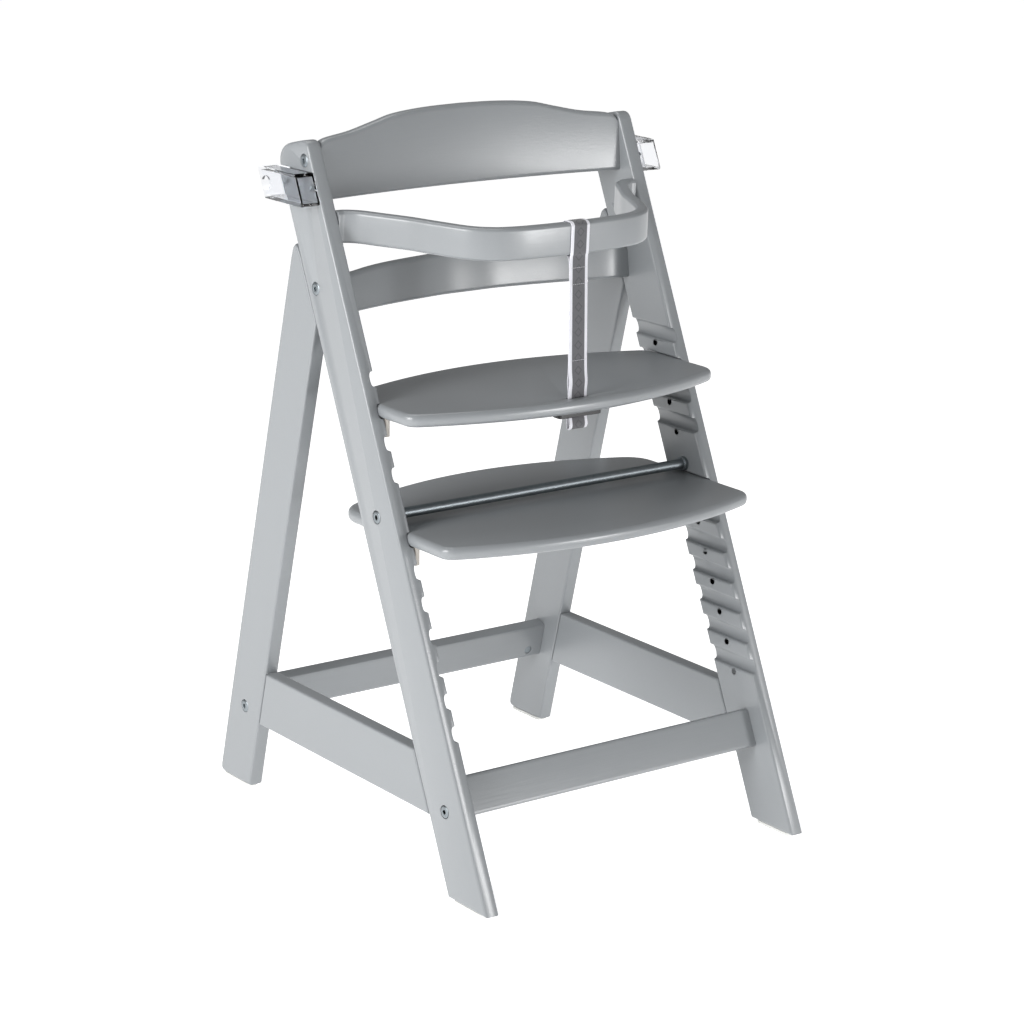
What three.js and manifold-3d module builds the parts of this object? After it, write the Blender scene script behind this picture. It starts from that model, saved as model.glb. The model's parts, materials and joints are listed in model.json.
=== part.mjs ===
// Wooden baby high chair: two leaning rails with grooves, two rear legs, a seat board and a foot board
// that slide in the grooves, a bent guard bar, two backrests and a tether strap.
// Millimetres, +Z up, front towards -Y. The origin is on the floor under the middle of the footprint.
import * as THREE from "three";
import { mergeVertices } from "three/addons/utils/BufferGeometryUtils.js";
import Module from "manifold-3d";

const wasm = await Module();
wasm.setup();

// ---- Driving dimensions. Heights are measured from the underside of the timber. ----

const gap = 0.3; // left between pieces that touch
const clearance = 0.3; // added to the radius of every hole round its pin
const timber = 18; // thickness of rails, legs, stretchers and crossbars
const innerHalf = 207; // half the clear width between the rails
const outerHalf = innerHalf + timber;
const middle = innerHalf + timber / 2;
const arris = 3; // rounding of the timber's long edges
const glideHeight = 4;
const footprintShift = 0.6; // the legs' rounded heels end short, so this centres the footprint on the origin

const railSlope = 0.4454; // rearward run for each millimetre of rise
const railFoot = -280.2; // front edge of the rail at its foot
const railWidth = 66.4; // measured square to the rail
const railTop = 796.5; // height of the head's front corner before it is rounded
// The head's top edge falls towards the rear, between a small and a large rounding.
const railHead = { slope: -0.23, front: 14, rear: 28 };
const railAngle = Math.atan(railSlope);
const railRun = railWidth / Math.cos(railAngle); // the same width measured level

const legSlope = -0.2605;
const legFoot = 281;
const legWidth = 67.3;
const legAngle = Math.atan(legSlope);
const legRun = legWidth / Math.cos(legAngle);

const railFront = (z) => railFoot + railSlope * z;
const railRear = (z) => railFront(z) + railRun;
const railCentre = (z) => railFront(z) + railRun / 2;
const legRear = (z) => legFoot + legSlope * z;
const legFront = (z) => legRear(z) - legRun;
const legCentre = (z) => legRear(z) - legRun / 2;

const stretcher = { bottom: 84, top: 152 };
const crossbar = { height: 45, boltDrop: 11.6 };
const frontCrossbarHeight = 107.8;
const rearCrossbarHeight = 110;
const tieRod = { radius: 6, height: 398.7, collarRadius: 8.5, collarLength: 4 };

const groove = { top: 546.3, pitch: 33.05, height: 16.2, depth: 7, lip: 3, reach: 60 };
const grooveSteps = [0, 1, 2, 3, 5, 6, 7, 8, 9, 10, 11]; // the tie rod takes the place of step 4
const pegHole = { drop: 13.5, radius: 4, depth: 10 };
const grooveHeight = (step) => groove.top - groove.pitch * step;

const board = { thickness: 15, half: 213, edge: 6.2 };
const seat = {
  step: 1,
  front: { side: -110, apex: -157, round: 15 },
  rear: { side: 13, apex: 61, round: 15 },
};
const foot = {
  step: 5,
  front: { side: -181, apex: -223, round: 15 },
  rear: { side: 22, apex: 77, round: 25 },
};
const travel = 20; // each board slides this far either way

const panel = { thickness: 14, edge: 5 };
const upperBack = { bottom: 727, lean: 0.1, boltDepth: 78.5, boltHeight: 772.5 };
const lowerBack = { bottom: 602, lean: 0.12, boltDepth: 56, boltHeight: 633 };

const guard = { thickness: 15, height: 36, edge: 4, level: 702, tilt: THREE.MathUtils.degToRad(2.5) };
const guardEnd = 44; // depth at which the guard bar meets the rails

const socket = { bottom: 727, top: 762, width: 24.7, wall: 3, deck: 4, overhang: 5, hole: 8 };
const bolt = { radius: 3, headRadius: 7.5, headHeight: 3, recess: 2.2, hex: 2.6, hexDepth: 2 };
const backBoltRadius = 2.6; // the backrests are thinner, and so are their bolts
const nut = { radius: 5, inset: 20 };
const screw = { radius: 2, headRadius: 4, length: 16 };
const peg = { radius: 3.7, length: 15 };
const dowel = { radius: 4, length: 32 };
const guardDowel = { inBar: 16, inRail: 11 };
const lock = { length: 68, flange: 6, height: 21, ledge: 26, ledgeThickness: 3, shift: -1 };
const strap = { width: 25, thickness: 2.4, sleeve: 1.6, ease: 0.6, tail: 12, roll: 4.5 };
const strapSlot = { offset: -8, depth: -140, length: 30, width: 6 };
const sleeveOffset = 4; // the strap leans sideways: its sleeve on the guard bar stands here
const anchor = { length: 58, width: 16, height: 5 };

// ---- Materials ----

const finish = (color, roughness, metalness = 0) =>
  new THREE.MeshStandardMaterial({ color, roughness, metalness });
const paint = finish(0xb6bcc0, 0.45);
const zinc = finish(0x9a9ea3, 0.35, 0.9);
const clear = finish(0xdfe6ea, 0.1);
const beige = finish(0xb5aea4, 0.5);
const white = finish(0xe6e6e2, 0.5);
const black = finish(0x1c1c1e, 0.5);
const webbing = finish(0x55585e, 0.9);
const beech = finish(0xd8b98c, 0.6);

// ---- Solids ----

// A closed geometry as a solid that can be cut and joined.
function solid(geometry) {
  const bare = geometry.clone();
  bare.deleteAttribute("normal");
  bare.deleteAttribute("uv");
  const merged = mergeVertices(bare, 1e-4);
  return new wasm.Manifold(
    new wasm.Mesh({
      numProp: 3,
      vertProperties: merged.getAttribute("position").array,
      triVerts: new Uint32Array(merged.index.array),
    }),
  );
}

function geometryOf(body) {
  const mesh = body.getMesh();
  const geometry = new THREE.BufferGeometry();
  geometry.setAttribute("position", new THREE.BufferAttribute(mesh.vertProperties, 3));
  geometry.setIndex(new THREE.BufferAttribute(mesh.triVerts, 1));
  geometry.computeVertexNormals();
  return geometry;
}

const cut = (geometry, ...tools) =>
  geometryOf(tools.reduce((body, tool) => body.subtract(solid(tool)), solid(geometry)));

const join = (...geometries) =>
  geometryOf(geometries.map(solid).reduce((body, next) => body.add(next)));

// ---- Outlines and basic geometries ----

// Closed outline through corners [x, y, rounding], anticlockwise.
function roundedShape(corners) {
  const shape = new THREE.Shape();
  corners.forEach(([x, y, radius], i) => {
    const corner = new THREE.Vector2(x, y);
    const towards = (j) => {
      const [nextX, nextY] = corners.at(j % corners.length);
      return new THREE.Vector2(nextX, nextY).sub(corner).normalize();
    };
    const before = towards(i - 1);
    const after = towards(i + 1);
    const reach = radius / Math.tan(before.angleTo(after) / 2);
    const start = before.multiplyScalar(reach).add(corner);
    const end = after.multiplyScalar(reach).add(corner);
    if (i === 0) shape.moveTo(start.x, start.y);
    else shape.lineTo(start.x, start.y);
    if (radius > 0) shape.quadraticCurveTo(x, y, end.x, end.y);
  });
  return shape;
}

// The outline extruded along its own normal and centred on it, with its two rims rounded.
function slab(shape, thickness, rounding = 0, steps = 2, curveSegments = 4) {
  const depth = thickness - 2 * rounding;
  const geometry = new THREE.ExtrudeGeometry(shape, {
    depth,
    curveSegments,
    bevelEnabled: rounding > 0,
    bevelThickness: rounding,
    bevelSize: rounding,
    bevelOffset: -rounding,
    bevelSegments: steps,
  });
  return geometry.translate(0, 0, -depth / 2);
}

const sideways = new THREE.Matrix4().makeBasis(
  new THREE.Vector3(0, 1, 0),
  new THREE.Vector3(0, 0, 1),
  new THREE.Vector3(1, 0, 0),
);

// A slab whose outline is drawn in the side view: Y to the right, Z up, extruded along X.
const sideSlab = (...options) => slab(...options).applyMatrix4(sideways);

function cylinder(radius, from, to, sides = 16) {
  const start = new THREE.Vector3(...from);
  const run = new THREE.Vector3(...to).sub(start);
  const turn = new THREE.Quaternion().setFromUnitVectors(
    new THREE.Vector3(0, 1, 0),
    run.clone().normalize(),
  );
  const centre = start.addScaledVector(run, 0.5);
  return new THREE.CylinderGeometry(radius, radius, run.length(), sides)
    .applyQuaternion(turn)
    .translate(...centre.toArray());
}

function block(width, depth, height, centre, edge = 1) {
  const outline = roundedShape([
    [-width / 2, -depth / 2, edge],
    [width / 2, -depth / 2, edge],
    [width / 2, depth / 2, edge],
    [-width / 2, depth / 2, edge],
  ]);
  return slab(outline, height, 0, 1, 2).translate(...centre);
}

// Ring of points round a rectangle with rounded corners, anticlockwise.
function ringPoints(width, bottom, top, rounding) {
  return roundedShape([
    [-width / 2, bottom, rounding],
    [width / 2, bottom, rounding],
    [width / 2, top, rounding],
    [-width / 2, top, rounding],
  ]).getPoints(2);
}

// Closed solid through convex rings of equal size, each anticlockwise seen from the far end.
function loft(rings) {
  const size = rings[0].length;
  const index = [];
  for (let row = 0; row < rings.length - 1; row++) {
    for (let i = 0; i < size; i++) {
      const a = row * size + i;
      const b = row * size + ((i + 1) % size);
      index.push(a, b, b + size, a, b + size, a + size);
    }
  }
  const last = (rings.length - 1) * size;
  for (let i = 2; i < size; i++) {
    index.push(0, i, i - 1, last, last + i - 1, last + i);
  }
  const geometry = new THREE.BufferGeometry().setFromPoints(rings.flat());
  geometry.setIndex(index);
  return geometry;
}

// ---- Timber frame ----

// Tool for one groove on the right rail's inner face: a round-bottomed channel with rounded lips.
function grooveTool(height) {
  const half = groove.height / 2;
  const mouth = half + groove.lip;
  const shape = new THREE.Shape();
  shape.moveTo(-2, -mouth);
  shape.lineTo(0, -mouth);
  shape.quadraticCurveTo(0, -half, groove.lip, -half);
  shape.quadraticCurveTo(groove.depth, -half, groove.depth, 0);
  shape.quadraticCurveTo(groove.depth, half, groove.lip, half);
  shape.quadraticCurveTo(0, half, 0, mouth);
  shape.lineTo(-2, mouth);
  return slab(shape, 2 * groove.reach, 0, 1, 3)
    .rotateX(Math.PI / 2)
    .translate(innerHalf, railCentre(height), height);
}

const holeAlongX = (radius, from, to, [y, z]) => cylinder(radius + clearance, [from, y, z], [to, y, z]);

// Clear hole for a bolt's shank and the recess for its head, through a timber's whole thickness.
function boltTools(spot) {
  return [
    holeAlongX(bolt.radius, innerHalf - 5, outerHalf + 5, spot),
    holeAlongX(bolt.headRadius, outerHalf - bolt.recess, outerHalf + 5, spot),
  ];
}

const along = (angle, distance) => [Math.sin(angle) * distance, Math.cos(angle) * distance];

function crossbarPlace(angle, centre, height) {
  const [y, z] = along(angle, -crossbar.boltDrop);
  return { centre: [centre(height), height], bolt: [centre(height) + y, height + z], angle };
}

const frontBar = crossbarPlace(railAngle, railCentre, frontCrossbarHeight);
const rearBar = crossbarPlace(legAngle, legCentre, rearCrossbarHeight);
const tieRodPlace = [railCentre(tieRod.height), tieRod.height];
const upperBolt = [upperBack.boltDepth, upperBack.boltHeight];
const lowerBolt = [lowerBack.boltDepth, lowerBack.boltHeight];
const guardPlace = [guardEnd, guard.level];
const socketMiddle = (socket.bottom + socket.top) / 2;
const socketScrews = {
  front: [railFront(socketMiddle) + 8, socketMiddle],
  rear: [railRear(socketMiddle) - 12, socketMiddle],
};

// The rear leg's head is cut to lie against the rail's rear edge; a dowel ties the two.
const legDowel = (() => {
  const height = 612;
  const across = new THREE.Vector3(0, Math.cos(railAngle), -Math.sin(railAngle));
  const centre = new THREE.Vector3(middle, railRear(height), height);
  return {
    from: centre.clone().addScaledVector(across, -dowel.length / 2).toArray(),
    to: centre.clone().addScaledVector(across, dowel.length / 2).toArray(),
    holeFrom: centre.clone().addScaledVector(across, -dowel.length / 2 - 1).toArray(),
    holeTo: centre.clone().addScaledVector(across, dowel.length / 2 + 1).toArray(),
  };
})();
const legDowelHole = () => cylinder(dowel.radius + clearance, legDowel.holeFrom, legDowel.holeTo, 12);

const glideStud = { radius: 2.5, length: 12 };
const glideHole = (y) =>
  cylinder(glideStud.radius + clearance, [middle, y, -1], [middle, y, glideStud.length + 1], 12);

function railGeometry() {
  const rearTop = railTop + (railHead.slope * railRun) / (1 - railHead.slope * railSlope);
  const outline = roundedShape([
    [railFoot, 0, 0],
    [railRear(0), 0, 0],
    [railRear(rearTop), rearTop, railHead.rear],
    [railFront(railTop), railTop, railHead.front],
  ]);
  const heights = grooveSteps.map(grooveHeight);
  const pegHoles = heights.map((height) => {
    const z = height - pegHole.drop;
    const spot = [railCentre(z), z];
    return cylinder(pegHole.radius, [innerHalf - 5, ...spot], [innerHalf + pegHole.depth, ...spot], 12);
  });
  const screwHoles = Object.values(socketScrews).map((spot) =>
    holeAlongX(screw.radius, outerHalf - screw.length, outerHalf + 5, spot),
  );
  return cut(
    sideSlab(outline, timber, arris, 1).translate(middle, 0, 0),
    ...heights.map(grooveTool),
    ...pegHoles,
    ...screwHoles,
    ...[upperBolt, lowerBolt, tieRodPlace, frontBar.bolt].flatMap(boltTools),
    holeAlongX(dowel.radius, innerHalf - 5, innerHalf + guardDowel.inRail + 1, guardPlace),
    legDowelHole(),
    glideHole(railCentre(0)),
  );
}

function legGeometry() {
  const rise = legFoot - legRun - railRear(0) - gap;
  const joinFront = rise / (railSlope - legSlope);
  const joinRear = (rise + legRun) / (railSlope - legSlope);
  const outline = roundedShape([
    [legFront(0), 0, 0],
    [legFoot, 0, 8],
    [legRear(joinRear), joinRear, 11],
    [legFront(joinFront), joinFront, 0],
  ]);
  return cut(
    sideSlab(outline, timber, arris).translate(middle, 0, 0),
    ...boltTools(rearBar.bolt),
    legDowelHole(),
    glideHole(legCentre(0)),
  );
}

function stretcherGeometry() {
  const { bottom, top } = stretcher;
  const outline = roundedShape([
    [railRear(bottom) + gap, bottom, 0],
    [legFront(bottom) - gap, bottom, 0],
    [legFront(top) - gap, top, 0],
    [railRear(top) + gap, top, 0],
  ]);
  return sideSlab(outline, timber, arris).translate(middle, 0, 0);
}

// A crossbar between the sides, with a bolt hole in each end. The holes for its barrel nuts open in its
// rear face, or in its front face where nutsInFront is true.
function crossbarGeometry({ centre, bolt: spot, angle }, nutsInFront) {
  const open = timber / 2 + 2;
  const blind = timber / 2 - 1;
  const nutReach = nutsInFront ? [open, blind] : [blind, open];
  const halfHeight = crossbar.height / 2;
  const section = ringPoints(timber, -halfHeight, halfHeight, 4);
  const end = innerHalf - gap;
  const turn = new THREE.Vector2(0, 0);
  const ring = (x) =>
    section.map((point) => {
      const { x: depth, y: height } = point.clone().rotateAround(turn, -angle);
      return new THREE.Vector3(x, centre[0] + depth, centre[1] + height);
    });
  const tools = [-1, 1].flatMap((side) => [
    holeAlongX(bolt.radius, side * (innerHalf - nut.inset - 12), side * (innerHalf + 5), spot),
    nutAt(side, spot, angle, nut.radius + clearance, ...nutReach),
  ]);
  return cut(loft([ring(-end), ring(end)]), ...tools);
}

// A cylinder across a bar or panel at its bolt: from `front` before the bolt's axis to `rear` behind it.
function nutAt(side, [y, z], angle, radius, front, rear) {
  const x = side * (innerHalf - nut.inset);
  const across = [Math.cos(angle), -Math.sin(angle)];
  const point = (distance) => [x, y + across[0] * distance, z + across[1] * distance];
  return cylinder(radius, point(-front), point(rear), 12);
}

// ---- Backrests ----

// Depth of the front face of each backrest at its bottom edge, from the middle out to the rail.
const upperFront = (x) => 84 - 17 * (x / 208) ** 2;
const spline = (points) => new THREE.SplineCurve(points.map(([x, y]) => new THREE.Vector2(x, y)));
const lowerBend = spline([[0, 75], [42, 74.4], [106, 65], [147, 56], [183, 46.5], [207, 46]]);
const upperCrest = spline(
  [[0, 817.5], [50, 816.5], [95, 813], [125, 806.5], [160, 799], [198, 794], [207, 787]],
);
const lowerCrest = spline([[0, 650], [120, 649], [170, 646.5], [198, 644], [207, 638]]);

// Height of a curve drawn from the middle outwards, at a distance from the middle.
function valueAt(curve, x) {
  const target = Math.abs(x);
  let low = 0;
  let high = 1;
  for (let i = 0; i < 30; i++) {
    const t = (low + high) / 2;
    if (curve.getPoint(t).x < target) low = t;
    else high = t;
  }
  return curve.getPoint(low).y;
}

function backrestGeometry({ bottom, lean }, frontAt, crestAt, spot) {
  const half = innerHalf - gap;
  const steps = 18;
  const rings = [];
  for (let i = 0; i <= steps; i++) {
    const x = -half * Math.cos((Math.PI * i) / steps);
    const centre = frontAt(x) + panel.thickness / 2;
    rings.push(
      ringPoints(panel.thickness, bottom, crestAt(x), panel.edge).map(
        (point) => new THREE.Vector3(x, centre + point.x + lean * (point.y - bottom), point.y),
      ),
    );
  }
  const tools = [-1, 1].flatMap((side) => [
    holeAlongX(backBoltRadius, side * (innerHalf - nut.inset - 4), side * (innerHalf + 5), spot),
    nutAt(side, spot, -Math.atan(lean), nut.radius + clearance, 2, panel.thickness),
  ]);
  return cut(loft(rings), ...tools);
}

// ---- Guard bar ----

const guardPath = new THREE.CatmullRomCurve3(
  [
    [207, guardEnd],
    [196, guardEnd - 0.5],
    [182, 33],
    [168, 10],
    [151, -19],
    [139, -46],
    [119, -86],
    [98, -104],
    [75, -111.5],
    [45, -115],
  ].flatMap(([x, y]) => [new THREE.Vector3(x, y, 0), new THREE.Vector3(-x, y, 0)])
    .concat(new THREE.Vector3(0, -116.5, 0))
    .sort((a, b) => a.x - b.x),
);

function guardBarGeometry() {
  const steps = 32;
  const section = ringPoints(guard.thickness, -guard.height / 2, guard.height / 2, guard.edge);
  const end = innerHalf - gap;
  const rings = [];
  for (let i = 0; i <= steps; i++) {
    const atEnd = i === 0 || i === steps;
    const point = guardPath.getPointAt(i / steps);
    const heading = atEnd ? new THREE.Vector3(1, 0, 0) : guardPath.getTangentAt(i / steps);
    const x = atEnd ? Math.sign(point.x) * end : point.x;
    rings.push(
      section.map(({ x: offset, y: height }) =>
        new THREE.Vector3(x - heading.y * offset, point.y + heading.x * offset - guardEnd, height),
      ),
    );
  }
  const body = loft(rings).rotateX(guard.tilt).translate(0, guardEnd, guard.level);
  const holes = [-1, 1].map((side) =>
    holeAlongX(dowel.radius, side * (innerHalf - guardDowel.inBar - 1), side * (innerHalf + 5), guardPlace),
  );
  return cut(body, ...holes);
}

// ---- Small hardware, drawn for the right side ----

// Bolt with a low domed head and a hexagonal socket, its shank reaching `inset` past the rail's inner face.
function boltGeometry([y, z], inset, radius = bolt.radius) {
  const shank = timber - bolt.recess + inset;
  const profile = [
    [0, -shank],
    [radius, -shank],
    [radius, gap],
    [bolt.headRadius, gap],
    [bolt.headRadius, bolt.headHeight * 0.5],
    [bolt.headRadius - 1.2, bolt.headHeight],
    [0, bolt.headHeight],
  ].map(([r, height]) => new THREE.Vector2(r, height));
  const head = new THREE.LatheGeometry(profile, 12);
  const hex = cylinder(bolt.hex, [0, bolt.headHeight - bolt.hexDepth, 0], [0, bolt.headHeight + 2, 0], 6);
  return cut(head, hex)
    .rotateZ(-Math.PI / 2)
    .translate(outerHalf - bolt.recess, y, z);
}

function screwGeometry(length) {
  const profile = [
    [0, -length],
    [screw.radius, -length + 3],
    [screw.radius, -2.2],
    [screw.headRadius, -0.4],
    [screw.headRadius, 0],
    [0, 0],
  ].map(([r, height]) => new THREE.Vector2(r, height));
  return new THREE.LatheGeometry(profile, 12);
}

// Cone-headed clearance for such a screw, its head's face at the origin and its point down -Y.
const screwTool = (length) => {
  const shank = cylinder(screw.radius + clearance, [0, -length - 1, 0], [0, 1, 0], 12);
  const sink = new THREE.CylinderGeometry(screw.headRadius + 0.8, screw.radius + clearance, 3, 12);
  return join(shank, sink.translate(0, -1, 0));
};

const nutGeometry = (spot, angle, front, rear) =>
  cut(
    nutAt(1, spot, angle, nut.radius, front, rear),
    holeAlongX(bolt.radius, innerHalf - nut.inset - 8, innerHalf - nut.inset + 8, spot),
  );

// Flat pad under a foot, with a stud that presses into the timber.
function glideGeometry(y) {
  const pad = block(timber - 3, 58, glideHeight - gap, [middle, y, (glideHeight - gap) / 2 - glideHeight], 5);
  const stud = cylinder(glideStud.radius, [middle, y, -glideHeight + 1], [middle, y, glideStud.length], 12);
  return join(pad, stud);
}

// Hollow tray socket: open at the front, with a round catch hole in its outer wall.
function socketGeometry() {
  const { bottom, top, width, wall, deck, overhang } = socket;
  const side = (low, high, front, rear, rounding) =>
    roundedShape([
      [railFront(low) + front, low, rounding],
      [railRear(low) + rear, low, rounding],
      [railRear(high) + rear, high, rounding],
      [railFront(high) + front, high, rounding],
    ]);
  const centre = outerHalf + gap + width / 2;
  const shell = sideSlab(side(bottom, top, 0, overhang, 3), width, 1).translate(centre, 0, 0);
  const cavity = sideSlab(side(bottom + deck, top - deck, -10, overhang - wall, 2), width - 2 * wall);
  const catchHole = [railRear(socketMiddle) - 5, socketMiddle];
  const screws = Object.values(socketScrews).map(([y, z]) =>
    screwTool(screw.length).rotateZ(-Math.PI / 2).translate(outerHalf + gap + wall, y, z),
  );
  return cut(
    shell,
    cavity.translate(centre, 0, 0),
    cylinder(socket.hole, [centre, ...catchHole], [centre + width, ...catchHole], 20),
    ...screws,
  );
}

// ---- Seat and foot boards, drawn round the middle of their own thickness ----

// Plan of a board: straight sides in the grooves, and a convex curve at the front and at the rear.
function boardShape({ front, rear }) {
  const { half } = board;
  const edge = ({ side, apex, round }) => {
    const inset = half - 0.9 * round;
    const rise = (side - apex) * (inset / half) ** 2;
    return { inset, end: apex + rise, control: apex - rise, side, round };
  };
  const near = edge(front);
  const far = edge(rear);
  const shape = new THREE.Shape();
  shape.moveTo(-near.inset, near.end);
  shape.quadraticCurveTo(0, near.control, near.inset, near.end);
  shape.quadraticCurveTo(half, near.side, half, near.side + near.round);
  shape.lineTo(half, far.side - far.round);
  shape.quadraticCurveTo(half, far.side, far.inset, far.end);
  shape.quadraticCurveTo(0, far.control, -far.inset, far.end);
  shape.quadraticCurveTo(-half, far.side, -half, far.side - far.round);
  shape.lineTo(-half, near.side + near.round);
  shape.quadraticCurveTo(-half, near.side, -near.inset, near.end);
  return shape;
}

const under = -board.thickness / 2; // underside of a board
const lockCentre = (height) => railCentre(height - pegHole.drop) + lock.shift;
const lockScrewX = innerHalf - lock.flange - lock.ledge / 2;

function boardGeometry(outline, height, ...tools) {
  const screwHoles = [-lockScrewX, lockScrewX].map((x) => {
    const [from, to] = [under - 1, under + 9].map((z) => [x, lockCentre(height), z]);
    return cylinder(screw.radius + clearance, from, to, 12);
  });
  return cut(slab(boardShape(outline), board.thickness, board.edge, 2, 8), ...screwHoles, ...tools);
}

// Bracket screwed under a board: its flange lies along the rail and a long slot in it passes the peg.
function lockGeometry(height) {
  const y = lockCentre(height);
  const top = under - gap;
  const flangeX = innerHalf - 2 * gap - lock.flange / 2;
  const ledgeX = lockScrewX + gap;
  const flangePlace = [flangeX, y, top - lock.height / 2];
  const ledgePlace = [ledgeX, y, top - lock.ledgeThickness / 2];
  const flange = block(lock.flange, lock.length, lock.height, flangePlace, 1.5);
  const ledge = block(lock.ledge + 2, lock.length, lock.ledgeThickness, ledgePlace, 5);
  const slotHalf = travel + peg.radius + 1;
  const slotRise = peg.radius + 0.7;
  const slotLevel = -pegHole.drop;
  const slot = roundedShape([
    [-slotHalf, -slotRise, slotRise * 0.8],
    [slotHalf, -slotRise, slotRise * 0.8],
    [slotHalf, slotRise, slotRise * 0.8],
    [-slotHalf, slotRise, slotRise * 0.8],
  ]);
  return cut(
    join(flange, ledge),
    sideSlab(slot, lock.flange + 1).translate(flangeX, y - lock.shift, slotLevel),
    lockScrewTool(height),
  );
}

// The lock's screw points up into the board, its head sunk in the ledge.
const lockScrewLength = 10;
const placeLockScrew = (geometry, height) =>
  geometry.rotateX(-Math.PI / 2).translate(lockScrewX, lockCentre(height), under - gap - lock.ledgeThickness);
const lockScrewTool = (height) => placeLockScrew(screwTool(lockScrewLength), height);

const pegGeometry = (height) => {
  const z = height - pegHole.drop;
  const inner = innerHalf + pegHole.depth - gap;
  return cylinder(peg.radius, [inner, railCentre(z), z], [inner - peg.length, railCentre(z), z], 12);
};

const slotTool = (height, level = 0) =>
  block(
    strapSlot.length,
    strapSlot.width,
    height,
    [strapSlot.offset, strapSlot.depth, level],
    strapSlot.width * 0.45,
  );

const anchorLevel = under - gap - anchor.height / 2;
const anchorGeometry = () =>
  cut(
    block(anchor.length, anchor.width, anchor.height, [strapSlot.offset, strapSlot.depth, anchorLevel], 4),
    slotTool(anchor.height + 4, anchorLevel),
  );

// Tether strap: a sleeve round the guard bar's front, then a double band down through the seat's slot
// and the anchor, ending in a sewn roll too thick to pull back through.
function strapGeometry(seatHeight) {
  const barDepth = guardPath.getPointAt(0.5).y;
  const reach = barDepth - guardEnd;
  const barLevel = guard.level + reach * Math.sin(guard.tilt);
  const hollow = ringPoints(
    guard.thickness + 2 * strap.ease,
    -guard.height / 2 - strap.ease,
    guard.height / 2 + strap.ease,
    guard.edge,
  );
  const outer = strap.ease + strap.sleeve;
  const sleeve = new THREE.Shape(
    ringPoints(
      guard.thickness + 2 * outer,
      -guard.height / 2 - outer,
      guard.height / 2 + outer,
      guard.edge + strap.sleeve,
    ),
  );
  sleeve.holes.push(new THREE.Path(hollow));
  const loop = sideSlab(sleeve, strap.width).rotateX(guard.tilt).translate(sleeveOffset, barDepth, barLevel);
  const half = strap.thickness / 2;
  const sides = strap.width / 2;
  const sewn = barLevel - guard.height / 2 - outer;
  const slotTop = seatHeight + board.thickness / 2;
  const tip = seatHeight + under - anchor.height - strap.tail;
  const ring = (x, y, z) => [
    new THREE.Vector3(x - sides, y - half, z),
    new THREE.Vector3(x + sides, y - half, z),
    new THREE.Vector3(x + sides, y + half, z),
    new THREE.Vector3(x - sides, y + half, z),
  ];
  const { offset, depth } = strapSlot;
  const band = loft([
    ring(offset, depth, tip),
    ring(offset, depth, slotTop + 4),
    ring(sleeveOffset, barDepth, sewn + 0.5),
  ]);
  const roll = cylinder(strap.roll, [offset - sides, depth, tip], [offset + sides, depth, tip], 16);
  return join(loop, band, roll).translate(0, 0, -seatHeight);
}

// ---- Assembly ----

const frame = new THREE.Group();
frame.position.set(0, footprintShift, glideHeight);

function place(name, geometry, material, parent = frame) {
  const mesh = new THREE.Mesh(geometry, material);
  mesh.name = name;
  parent.add(mesh);
  return mesh;
}

// The same piece on both sides: the geometry is drawn for the right and mirrored for the left.
function pair(name, geometry, material, parent = frame) {
  place(`${name}_right`, geometry, material, parent);
  place(`${name}_left`, geometry, material, parent).scale.x = -1;
}

pair("rail", railGeometry(), paint);
pair("leg", legGeometry(), paint);
pair("stretcher", stretcherGeometry(), paint);
place("front_crossbar", crossbarGeometry(frontBar, false), paint);
place("rear_crossbar", crossbarGeometry(rearBar, true), paint);
place(
  "upper_backrest",
  backrestGeometry(upperBack, upperFront, (x) => valueAt(upperCrest, x), upperBolt),
  paint,
);
place(
  "lower_backrest",
  backrestGeometry(lowerBack, (x) => valueAt(lowerBend, x), (x) => valueAt(lowerCrest, x), lowerBolt),
  paint,
);
place("guard_bar", guardBarGeometry(), paint);

// Steel tie rod with a collar at each end, tapped for its bolts.
const rodEnd = innerHalf - gap;
const rodLine = (from, to, radius) =>
  cylinder(radius, [from, ...tieRodPlace], [to, ...tieRodPlace], 20);
const rodHoles = [-1, 1].map((side) =>
  holeAlongX(bolt.radius, side * (innerHalf - nut.inset - 3), side * (innerHalf + 5), tieRodPlace),
);
const collars = [-1, 1].map((side) =>
  rodLine(side * (rodEnd - tieRod.collarLength), side * rodEnd, tieRod.collarRadius),
);
const rod = rodLine(-rodEnd, rodEnd, tieRod.radius);
place("tie_rod", cut(join(rod, ...collars), ...rodHoles), zinc);

const bolts = {
  upper_back_bolt: [upperBolt, nut.inset + 1, backBoltRadius],
  lower_back_bolt: [lowerBolt, nut.inset + 1, backBoltRadius],
  front_crossbar_bolt: [frontBar.bolt, nut.inset + 8],
  rear_crossbar_bolt: [rearBar.bolt, nut.inset + 8],
  tie_rod_bolt: [tieRodPlace, nut.inset],
};
for (const [name, options] of Object.entries(bolts)) {
  pair(name, boltGeometry(...options), zinc);
}

const panelNut = (spot, lean) => nutGeometry(spot, -Math.atan(lean), 1.5, 6);
pair("upper_back_nut", panelNut(upperBolt, upperBack.lean), zinc);
pair("lower_back_nut", panelNut(lowerBolt, lowerBack.lean), zinc);
pair("front_crossbar_nut", nutGeometry(frontBar.bolt, frontBar.angle, 7, 8.5), zinc);
pair("rear_crossbar_nut", nutGeometry(rearBar.bolt, rearBar.angle, 8.5, 7), zinc);

const guardDowelEnds = [innerHalf - guardDowel.inBar, innerHalf + guardDowel.inRail];
pair("guard_bar_dowel", cylinder(dowel.radius, ...guardDowelEnds.map((x) => [x, ...guardPlace]), 12), beech);
pair("leg_dowel", cylinder(dowel.radius, legDowel.from, legDowel.to, 12), beech);
pair("front_glide", glideGeometry(railCentre(0)), white);
pair("rear_glide", glideGeometry(legCentre(0)), white);

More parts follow.
